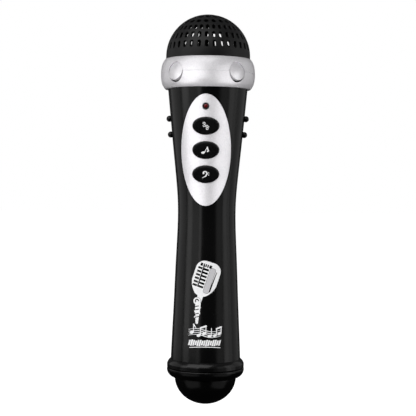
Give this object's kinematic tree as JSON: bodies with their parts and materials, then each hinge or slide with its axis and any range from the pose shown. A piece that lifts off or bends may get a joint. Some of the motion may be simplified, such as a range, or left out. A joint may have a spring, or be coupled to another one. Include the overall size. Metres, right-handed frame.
{
  "type": "toy microphone",
  "caption": "Hand-held toy microphone with a perforated black dome, silver collar, waisted handle, silver button panel and rounded end cap.",
  "frame": {"origin": "lowest point of the rounded end cap, on the handle's axis", "axes": "+Z along the handle towards the dome, -Y out of the button panel, +X to the right as the panel is faced"},
  "size_m": [0.047, 0.047, 0.195],
  "materials": {
    "black_gloss_plastic": "polished ABS",
    "black_grille_plastic": "satin moulded ABS",
    "black_inner_plastic": "as moulded",
    "black_button_plastic": "finely textured ABS with white printed signs",
    "silver_plastic": "ABS with sprayed metallic silver lacquer",
    "grey_silicone": "soft silicone",
    "black_rubber": "thin foam rubber",
    "carbon_pill": "conductive carbon rubber",
    "red_lamp": "clear red epoxy lamp",
    "circuit_laminate": "phenolic paper board with green mask",
    "black_resin": "cured resin",
    "capacitor_sleeve": "shrink sleeve over an aluminium can",
    "zinc_screws": "zinc-plated steel",
    "pressed_steel": "pressed steel, black",
    "ferrite": "sintered ferrite",
    "speaker_paper": "pressed paper cone",
    "copper": "enamelled copper wire",
    "tinned_wire": "tinned spring steel and wire",
    "cell_sleeve": "printed sleeve on a steel can",
    "red_wire_sleeve": "PVC insulation",
    "black_wire_sleeve": "PVC insulation"
  },
  "bodies": {
    "handle": {"back_shell": "black_gloss_plastic", "battery_lead_black": "black_wire_sleeve", "battery_lead_red": "red_wire_sleeve", "battery_left": "cell_sleeve", "battery_right": "cell_sleeve", "battery_tray": "black_inner_plastic", "board_screws": "zinc_screws", "body_screws": "zinc_screws", "bridge_contact": "tinned_wire", "bridge_contact_spring": "tinned_wire", "capacitor": "capacitor_sleeve", "circuit_board": "circuit_laminate", "collar_ring": "silver_plastic", "collar_studs": "silver_plastic", "end_cap": "black_gloss_plastic", "end_ring": "black_gloss_plastic", "front_shell": "black_gloss_plastic", "grille_dome": "black_grille_plastic", "grip_studs": "black_gloss_plastic", "keypad_web": "grey_silicone", "lamp": "red_lamp", "lamp_leads": "tinned_wire", "lower_dome_spring": "grey_silicone", "middle_dome_spring": "grey_silicone", "negative_contact": "tinned_wire", "negative_contact_spring": "tinned_wire", "panel_bezel": "silver_plastic", "positive_contact": "tinned_wire", "resistors": "black_resin", "sound_chip": "black_resin", "speaker_basket": "pressed_steel", "speaker_clamp_ring": "black_grille_plastic", "speaker_cone": "speaker_paper", "speaker_dust_cap": "speaker_paper", "speaker_lead_left": "black_wire_sleeve", "speaker_lead_right": "red_wire_sleeve", "speaker_magnet": "ferrite", "speaker_surround": "black_rubber", "speaker_terminal_strip": "circuit_laminate", "speaker_voice_coil": "copper", "speaker_yoke": "pressed_steel", "transistor": "black_resin", "upper_dome_spring": "grey_silicone"},
    "upper_button": {"upper_button": "black_button_plastic", "upper_contact_pill": "carbon_pill"},
    "middle_button": {"middle_button": "black_button_plastic", "middle_contact_pill": "carbon_pill"},
    "lower_button": {"lower_button": "black_button_plastic", "lower_contact_pill": "carbon_pill"},
    "battery_door": {"battery_door": "black_gloss_plastic", "battery_door_screw": "zinc_screws"}
  },
  "joints": [
    {"name": "upper_button_press", "type": "slide", "parent": "handle", "child": "upper_button", "axis": [0, 0.9948, 0.1019], "range_m": [0, 0.001], "stiffness_N_per_m": 300, "springref_m": -0.0004, "deforming": ["upper_dome_spring"]},
    {"name": "middle_button_press", "type": "slide", "parent": "handle", "child": "middle_button", "axis": [0, 0.9948, 0.1019], "range_m": [0, 0.001], "stiffness_N_per_m": 300, "springref_m": -0.0004, "deforming": ["middle_dome_spring"]},
    {"name": "lower_button_press", "type": "slide", "parent": "handle", "child": "lower_button", "axis": [0, 0.9948, 0.1019], "range_m": [0, 0.001], "stiffness_N_per_m": 300, "springref_m": -0.0004, "deforming": ["lower_dome_spring"]},
    {"name": "battery_door_lift_off", "type": "slide", "parent": "handle", "child": "battery_door", "axis": [0, 1, 0], "range_m": [0, 0.018]}
  ]
}
